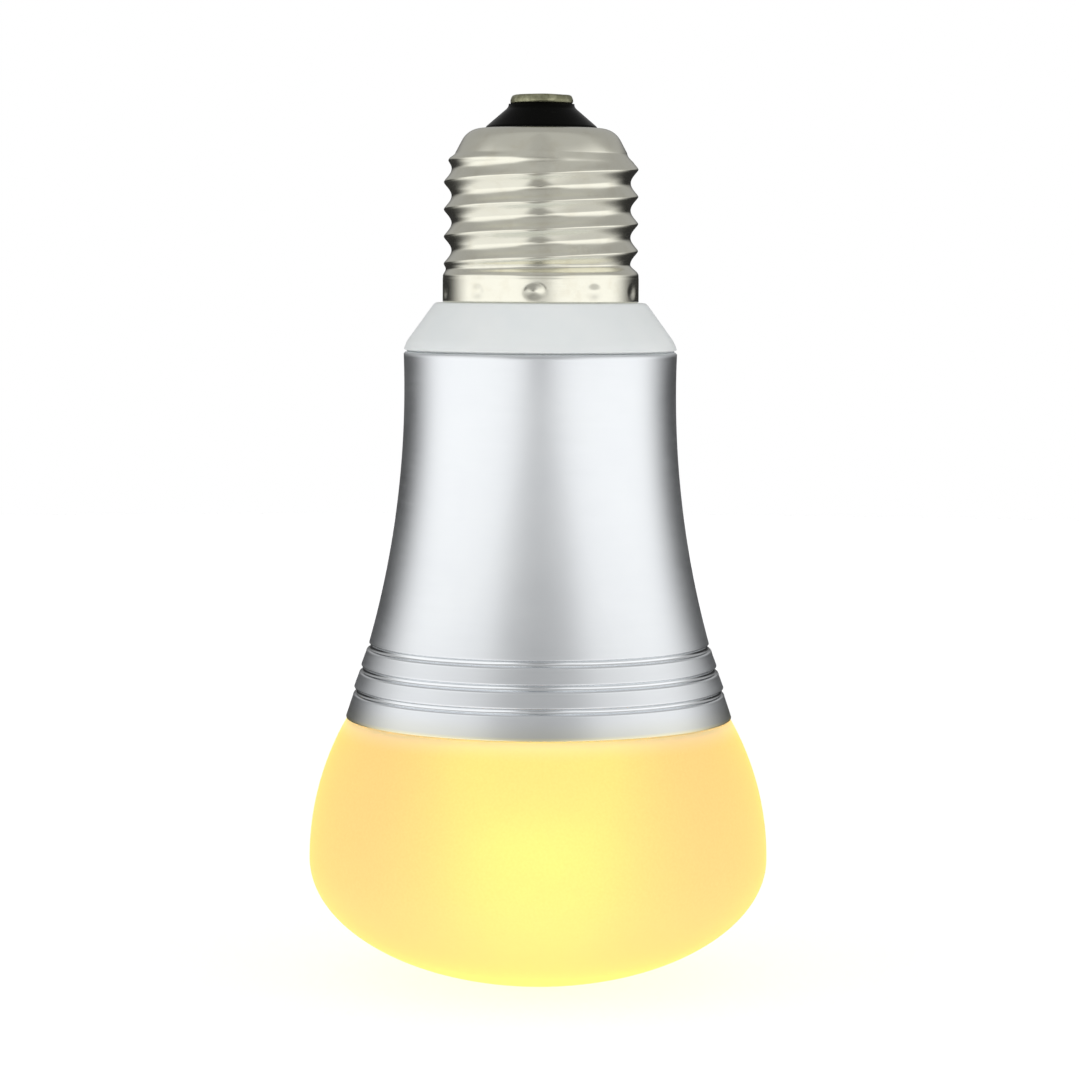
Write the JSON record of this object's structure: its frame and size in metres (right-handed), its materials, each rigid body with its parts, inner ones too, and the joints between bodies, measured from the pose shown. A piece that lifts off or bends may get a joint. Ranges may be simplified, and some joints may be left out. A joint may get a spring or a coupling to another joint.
{
  "type": "smart light bulb",
  "caption": "LED lamp on an Edison screw cap: nickelled shell, white collar, flared satin aluminium housing with stepped rings and a broad milky domed diffuser.",
  "frame": {"origin": "on the lamp's axis, in the plane of the screw shell's lower rim, where the shell meets the collar", "axes": "+Z along the axis, out through the centre contact; the lamp hangs from its cap with the diffuser at -Z. +Y is the side of the driver board that carries the capacitors and transformer"},
  "size_m": [0.062, 0.062, 0.1196],
  "materials": {
    "contact_metal": "worn nickel plate",
    "cap_black": "glossy black insulator",
    "nickel_plate": "nickel plate with a warm cast, rolled thread",
    "collar_white": "smooth moulded white plastic",
    "screw_steel": "zinc plated",
    "satin_aluminium": "satin turned aluminium, clear anodised",
    "plate_aluminium": "plain sheet",
    "sleeve_plastic": "moulded liner",
    "board_green": "solder mask",
    "board_blue": "solder mask",
    "board_white": "white solder mask on an aluminium core",
    "capacitor_sleeve": "printed-free shrink sleeve",
    "film_yellow": "potted box",
    "ferrite": "dull sintered ferrite",
    "moulded_black": "moulded epoxy or nylon",
    "tape_yellow": "polyester tape over the winding",
    "shrink_black": "shrink tube",
    "ceramic_blue": "dipped epoxy",
    "resistor_green": "lacquer",
    "wire_red": "silicone insulation",
    "wire_white": "silicone insulation",
    "thermal_pad": "soft filled silicone",
    "led_warm": "phosphor",
    "led_cool": "phosphor",
    "led_colour": "clear dish on a white body",
    "connector_white": "moulded nylon",
    "shield_tin": "tinned steel",
    "antenna_copper": "copper track",
    "silicone": "white silicone bead",
    "diffuser_milky": "milky polycarbonate, lit warm"
  },
  "bodies": {
    "root": {"centre_contact": "contact_metal", "cap_insulator": "cap_black", "screw_shell": "nickel_plate", "collar": "collar_white", "collar_screws": "screw_steel", "housing": "satin_aluminium", "insulation_sleeve": "sleeve_plastic", "driver_board": "board_green", "input_capacitor": "capacitor_sleeve", "output_capacitor": "capacitor_sleeve", "film_capacitor": "film_yellow", "transformer_core": "ferrite", "transformer_bobbin": "moulded_black", "transformer_winding": "tape_yellow", "filter_inductor": "shrink_black", "varistor": "ceramic_blue", "y_capacitor": "ceramic_blue", "bridge_rectifier": "moulded_black", "driver_chips": "moulded_black", "fuse_resistor": "resistor_green", "live_lead": "wire_red", "neutral_lead": "wire_white", "led_leads": "wire_red", "heat_plate": "plate_aluminium", "thermal_pad": "thermal_pad", "led_board": "board_white", "led_board_screws": "screw_steel", "warm_white_leds": "led_warm", "cool_white_leds": "led_cool", "colour_leds": "led_colour", "led_connector": "connector_white", "module_socket": "moulded_black", "wireless_module": "board_blue", "module_shield": "shield_tin", "module_chip": "moulded_black", "module_antenna": "antenna_copper", "diffuser_seal": "silicone", "diffuser": "diffuser_milky"}
  },
  "joints": []
}
